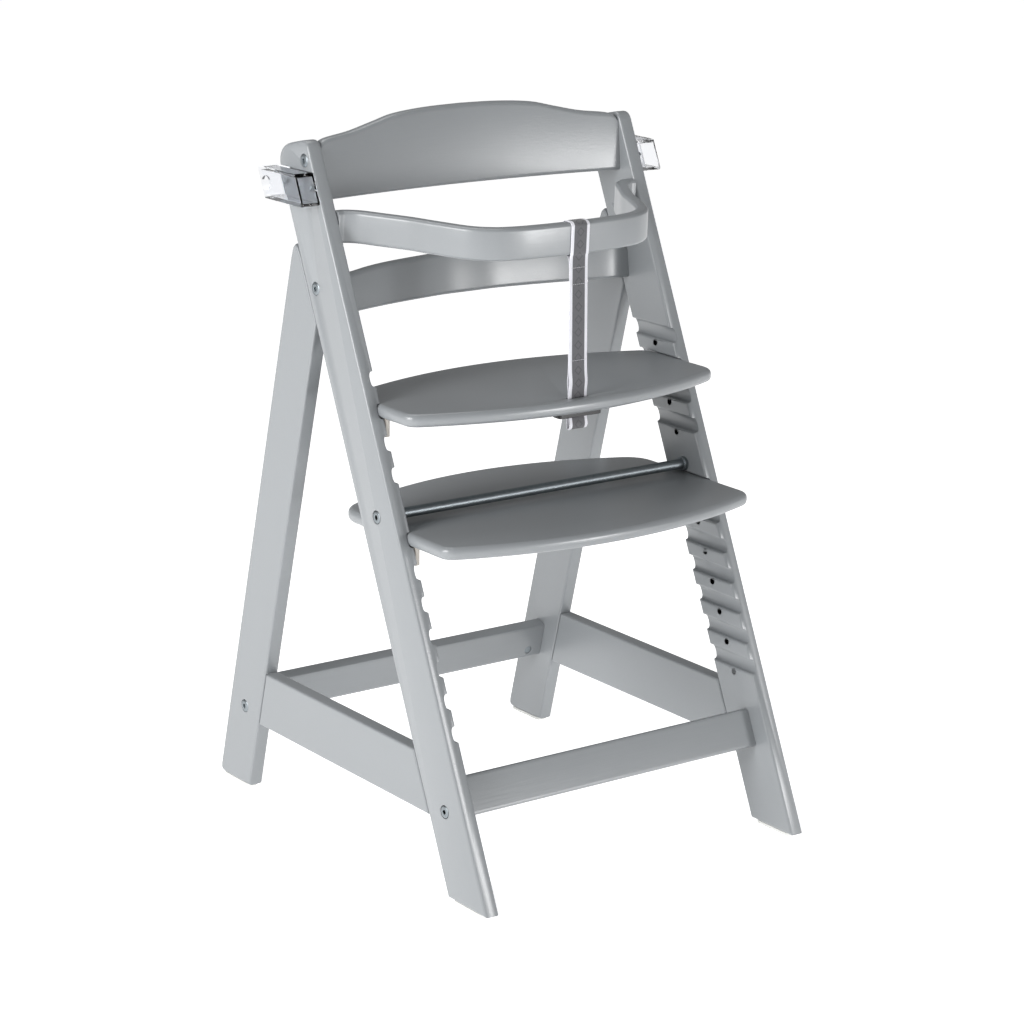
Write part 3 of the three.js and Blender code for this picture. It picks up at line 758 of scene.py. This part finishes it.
def make_bolt(name, side):
    """Button-head bolt with a hexagonal socket; its head's rim lies in the timber's recess."""
    node = f"{name}_bolt_{side}"
    low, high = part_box(node)
    way = 1 if side == "right" else -1
    y, z = (low.y + high.y) / 2, (low.z + high.z) / 2
    crown = max(abs(low.x), abs(high.x))
    tip = min(abs(low.x), abs(high.x))
    shank = 3 * MM if "back" not in name else 2.6 * MM
    head = BOLT_HEAD
    stations = [
        (0.6 * MM, tip - crown, 0),
        (shank - 0.4 * MM, tip - crown, 0),
        (shank, tip - crown + 0.6 * MM, 0),
        (shank, -2.7 * MM, 0),
        (head - 0.4 * MM, -2.7 * MM, 0),
        (head, -2.3 * MM, 0),
        (head, -1.5 * MM, 0),
        (head - 0.5 * MM, -0.8 * MM, 0),
        (head - 1.6 * MM, -0.25 * MM, 0),
        (head - 3.0 * MM, 0, 0),
        (3.1 * MM, 0, 0),
        (2.9 * MM, -0.25 * MM, 6),
        (2.9 * MM, -2.0 * MM, 6),
        (0.5 * MM, -2.3 * MM, 0),
    ]
    bm = turned(stations, 48, lambda a, b, h: Vector((way * (crown + h), y + a, z + b)))
    bolt = make_object(node + "_fine", bm, steel)
    hand_in(bolt, "frame", "zinc_steel", node)


def make_screw(node, body, axis):
    """Countersunk screw with a cross recess. axis is the way that its head faces."""
    low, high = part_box(node)
    face = Vector(axis)
    centre = (low + high) / 2
    half = abs((high - low).dot(face)) / 2
    across = face.orthogonal().normalized()
    up = face.cross(across)
    head = 4 * MM

    def place(a, b, h):
        return centre + face * (half + h) + across * a + up * b

    stations = [(0.3 * MM, -2 * half, 0), (1.5 * MM, 3 * MM - 2 * half, 0)]
    pitch = 1.2 * MM
    turns = int((2 * half - 6 * MM) / pitch)
    for i in range(turns):
        height = 3 * MM - 2 * half + i * pitch
        stations += [(1.5 * MM, height + 0.1 * pitch, 0), (1.95 * MM, height + 0.5 * pitch, 0)]
    stations += [
        (1.6 * MM, -2.4 * MM, 0),
        (head, -0.45 * MM, 0),
        (head, -0.1 * MM, 0),
        (head - 0.2 * MM, 0, 0),
        (0.2 * MM, 0, 0),
    ]
    screw = make_object(node + "_fine", turned(stations, 32, place), steel)
    for first, second in ((across, up), (up, across)):
        corners = [(-2.2, -0.45), (2.2, -0.45), (2.2, 0.45), (-2.2, 0.45)]
        tip = centre + face * (half - 1.3 * MM)
        mouth = centre + face * (half + 1 * MM)
        low_ring = [tip + first * (0.55 * a * MM) + second * (b * MM) for a, b in corners]
        high_ring = [mouth + first * (a * MM) + second * (b * MM) for a, b in corners]
        subtract(screw, [loft([low_ring, high_ring])])
    hand_in(screw, body, "zinc_steel", node)


# ---- Strap ----


def guard_profile(clearance):
    """Rounded section of the guard bar at its front, grown by a clearance, anticlockwise from its lower
    front corner."""
    width, height = GUARD_SIZE
    half = height / 2 + clearance
    ring = rounded_rectangle(width + 2 * clearance, -half, half, GUARD_EDGE + clearance, 8)
    run = guard_stations()
    front = run[len(run) // 2].y
    return [(front + a, b) for a, b in ring]


def strap_path():
    """Points of the webbing's middle line: from below the seat up its front strand, over the guard bar
    and down its rear strand; and those of the short loop under the anchor that closes it."""
    lift = STRAP_THICK / 2 + 0.25 * MM
    ring = guard_profile(lift)
    per_corner = len(ring) // 4
    # The ring's corners in order: low front, low rear, high rear, high front.
    low_rear, high_rear, high_front = (ring[per_corner * i : per_corner * (i + 1)] for i in (1, 2, 3))
    bar = [ring[0], *reversed(high_front), *reversed(high_rear), *reversed(low_rear[4:])]
    around = [tilted(STRAP_ON_BAR, y, z) for y, z in bar]
    seat_low, seat_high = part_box("seat_board")
    slot_x, slot_y = STRAP_SLOT + SHIFT.xy
    half = STRAP_THICK / 2 + 0.06 * MM
    seam_z = STRAP_SEAM + SHIFT.z
    seam_y = around[0].y + 2.2 * MM
    sewn_z = STRAP_SEWN
    mix = (seam_z - sewn_z) / (seam_z - seat_high.z)
    sewn_y = seam_y + (slot_y - seam_y) * mix
    sewn_x = STRAP_ON_BAR + (slot_x - STRAP_ON_BAR) * mix

    upper_middle = Vector((STRAP_ON_BAR + sewn_x, seam_y + sewn_y, seam_z + sewn_z)) / 2
    lower_middle = Vector((sewn_x + slot_x, sewn_y + slot_y, sewn_z + seat_high.z)) / 2

    def strand(side):
        """Points of one strand from the loop's seam down to below the seat; side is -1 in front."""
        bulge = 1.4 * MM
        return [
            Vector((STRAP_ON_BAR, seam_y + side * half, seam_z)),
            upper_middle + Vector((0, side * half, 0)),
            Vector((sewn_x, sewn_y + side * half, sewn_z)),
            lower_middle + Vector((0, side * (half + bulge), 0)),
            Vector((slot_x, slot_y + side * half, seat_high.z + 4 * MM)),
            Vector((slot_x, slot_y + side * half, seat_low.z - 4 * MM)),
        ]

    front = strand(-1)
    rear = strand(1)
    loop_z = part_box("strap")[0].z + STRAP_THICK
    tongue = [
        Vector((slot_x, slot_y + 3.2 * MM, loop_z + 5 * MM)),
        Vector((slot_x, slot_y, loop_z)),
        Vector((slot_x, slot_y - 3.2 * MM, loop_z + 5 * MM)),
    ]
    return catmull([*front[::-1], *around, *rear], 5), catmull([rear[-1], *tongue, front[-1]], 8)


def ribbon(path, width, thickness):
    """Endless flat band along a closed path, with rounded edges and UVs in millimetres."""
    section = rounded_rectangle(width, -thickness / 2, thickness / 2, thickness * 0.45, 3)
    bm = bmesh.new()
    layer = bm.loops.layers.uv.new("weave")
    rows = []
    lengths = [0.0]
    for i, point in enumerate(path):
        following = path[(i + 1) % len(path)]
        ahead = (following - path[i - 1]).normalized()
        normal = Vector((0, -ahead.z, ahead.y)).normalized()
        rows.append([bm.verts.new(point + Vector((a, 0, 0)) + normal * b) for a, b in section])
        lengths.append(lengths[-1] + (following - point).length)
    rows.append(rows[0])
    size = len(section)
    for r in range(len(path)):
        for i in range(size):
            j = (i + 1) % size
            face = bm.faces.new((rows[r][i], rows[r][j], rows[r + 1][j], rows[r + 1][i]))
            corners = ((i, r), (j, r), (j, r + 1), (i, r + 1))
            for loop, (c, row) in zip(face.loops, corners):
                loop[layer].uv = (section[c][0] / MM, lengths[row] / MM)
    return bm


def make_strap():
    upper, tongue = strap_path()
    path = [*upper, *tongue[1:-1]]
    strap = make_object("strap_webbing", ribbon(path, STRAP_WIDTH, STRAP_THICK), strap_cloth, 60)
    length = sum((b - a).length for a, b in zip(path, path[1:]))
    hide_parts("strap")
    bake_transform(strap)
    stitches = make_stitches(upper)
    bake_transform(stitches)


def make_stitches(path):
    """Rows of thread that close the loop under the bar and join the two strands above the seat."""
    seat_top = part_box("seat_board")[1].z
    front = [p for p in path[: len(path) // 2] if p.z > seat_top]
    front.sort(key=lambda p: p.z)
    parts = []
    for level in STITCH_LEVELS:
        below = max((p for p in front if p.z <= level), key=lambda p: p.z)
        above = min((p for p in front if p.z > level), key=lambda p: p.z)
        t = (level - below.z) / (above.z - below.z)
        spot = below.lerp(above, t)
        count = 8
        pitch = (STRAP_WIDTH - 3 * MM) / count
        for i in range(count):
            x = spot.x + (i - (count - 1) / 2) * pitch
            y = spot.y - STRAP_THICK / 2 - 0.05 * MM
            start = Vector((x - 0.36 * pitch, y, spot.z))
            end = Vector((x + 0.36 * pitch, y, spot.z))
            middle = (start + end) / 2 - Vector((0, 0.18 * MM, 0))
            parts.append(tube([start, middle, end], 0.22 * MM))
    return make_object("strap_stitches", merged(*parts), thread, 60)


def tube(points, radius, sides=8):
    """Thin round tube along a few points of a nearly level thread, slimmer at both ends."""
    run = catmull(points, 4)
    rings = []
    for i, point in enumerate(run):
        ahead = (run[min(i + 1, len(run) - 1)] - run[max(i - 1, 0)]).normalized()
        side = ahead.cross(Vector((0, 0, 1))).normalized()
        up = side.cross(ahead)
        slim = radius * (0.5 if i in (0, len(run) - 1) else 1)
        turns = [2 * math.pi * k / sides for k in range(sides)]
        rings.append([point + slim * (side * math.cos(a) + up * math.sin(a)) for a in turns])
    return loft(rings)


# ---- Assembly ----

make_rails()
for node, body in (("seat_board", "seat"), ("foot_board", "foot")):
    make_board(node, body)
for node in BACKS:
    make_backrest(node)
make_guard_bar()

for side in ("left", "right"):
    refined(f"leg_{side}", paint_leg, "paint")
    refined(f"stretcher_{side}", paint_along, "paint")
    refined(f"tray_socket_{side}", clear, "clear_plastic", 0.35 * MM)
    for end in ("front", "rear"):
        refined(f"{end}_glide_{side}", glide_white, "glide_plastic")
        refined(f"{end}_crossbar_nut_{side}", steel, "zinc_steel", 0.3 * MM)
        make_screw(f"socket_screw_{end}_{side}", "frame", (1 if side == "right" else -1, 0, 0))
    for back in ("upper", "lower"):
        refined(f"{back}_back_nut_{side}", steel, "zinc_steel", 0.3 * MM)
    for board in ("seat", "foot"):
        refined(f"{board}_lock_{side}", lock_beige, "lock_plastic")
        refined(f"{board}_peg_{side}", steel, "zinc_steel", 0.4 * MM)
        make_screw(f"{board}_lock_screw_{side}", board, (0, 0, -1))
    for bolt in ("upper_back", "lower_back", "front_crossbar", "rear_crossbar", "tie_rod"):
        make_bolt(bolt, side)
    refined(f"guard_bar_dowel_{side}", beech, "beech", 0.4 * MM)
    refined(f"leg_dowel_{side}", beech, "beech", 0.4 * MM)
for bar in ("front_crossbar", "rear_crossbar"):
    refined(bar, paint_across, "paint")
refined("tie_rod", steel, "zinc_steel", 0.4 * MM)
refined("strap_anchor", anchor_black, "anchor_plastic", 0.5 * MM)
make_strap()

# ---- Studio ----


def make_floor():
    s = Shader("pale_floor")
    mottle = s.noise(s.mapped((1, 1, 1)), 4.0)
    s.set(
        Base_Color=s.blend(mottle, (0.90, 0.90, 0.90, 1), (0.93, 0.93, 0.93, 1)),
        Roughness=0.9,
        Specular_IOR_Level=0.1,
        Emission_Color=(1, 1, 1, 1),
        Emission_Strength=0.8,
    )
    bm = bmesh.new()
    bmesh.ops.create_grid(bm, x_segments=1, y_segments=1, size=30)
    floor = make_object("floor", bm, s.material)


def make_light(name, place, target, size, power):
    light = bpy.data.lights.new(name, "AREA")
    light.shape = "DISK"
    light.size = size
    light.energy = power
    obj = bpy.data.objects.new(name, light)
    obj.location = place
    obj.rotation_euler = (Vector(target) - Vector(place)).to_track_quat("-Z", "Y").to_euler()
    bpy.context.scene.collection.objects.link(obj)


def make_world():
    world = bpy.data.worlds.new("studio")
    bpy.context.scene.world = world
    world.use_nodes = True
    background = world.node_tree.nodes["Background"]
    background.inputs["Color"].default_value = (1, 1, 1, 1)
    background.inputs["Strength"].default_value = 0.22
    # The camera sees a white backdrop; only the reflections and the light see the dimmer studio.
    white = world.node_tree.nodes.new("ShaderNodeBackground")
    path = world.node_tree.nodes.new("ShaderNodeLightPath")
    mix = world.node_tree.nodes.new("ShaderNodeMixShader")
    link = world.node_tree.links.new
    white.inputs["Color"].default_value = (1, 1, 1, 1)
    link(path.outputs["Is Camera Ray"], mix.inputs[0])
    link(background.outputs[0], mix.inputs[1])
    link(white.outputs[0], mix.inputs[2])
    link(mix.outputs[0], world.node_tree.nodes["World Output"].inputs["Surface"])


CAMERA_PLACE = Vector((-2008.5, -2781.1, 1303.3)) * MM + SHIFT
CAMERA_YAW = math.radians(35.92)
CAMERA_PITCH = math.radians(15.446)
CAMERA_ROLL = math.radians(0.661)


def make_camera():
    camera = bpy.data.cameras.new("camera")
    camera.lens = 108.09
    camera.sensor_width = 36
    obj = bpy.data.objects.new("camera", camera)
    forward = Vector(
        (
            math.sin(CAMERA_YAW) * math.cos(CAMERA_PITCH),
            math.cos(CAMERA_YAW) * math.cos(CAMERA_PITCH),
            -math.sin(CAMERA_PITCH),
        )
    )
    level = Vector((math.cos(CAMERA_YAW), -math.sin(CAMERA_YAW), 0))
    raised = level.cross(forward)
    right = level * math.cos(CAMERA_ROLL) + raised * math.sin(CAMERA_ROLL)
    up = raised * math.cos(CAMERA_ROLL) - level * math.sin(CAMERA_ROLL)
    turn = Matrix((right, up, -forward)).transposed().to_4x4()
    obj.matrix_world = Matrix.Translation(CAMERA_PLACE) @ turn
    bpy.context.scene.collection.objects.link(obj)
    bpy.context.scene.camera = obj


make_floor()
make_world()
make_light("key", (-3.0, -0.4, 1.5), (0, 0, 0.4), 1.8, 88)
make_light("fill", (1.25, -2.85, 0.45), (0, 0, 0.6), 0.8, 32)
make_light("top", (0.2, 0.8, 2.8), (0, 0, 0.5), 1.6, 18)
make_camera()
bpy.context.scene.view_settings.view_transform = "Standard"
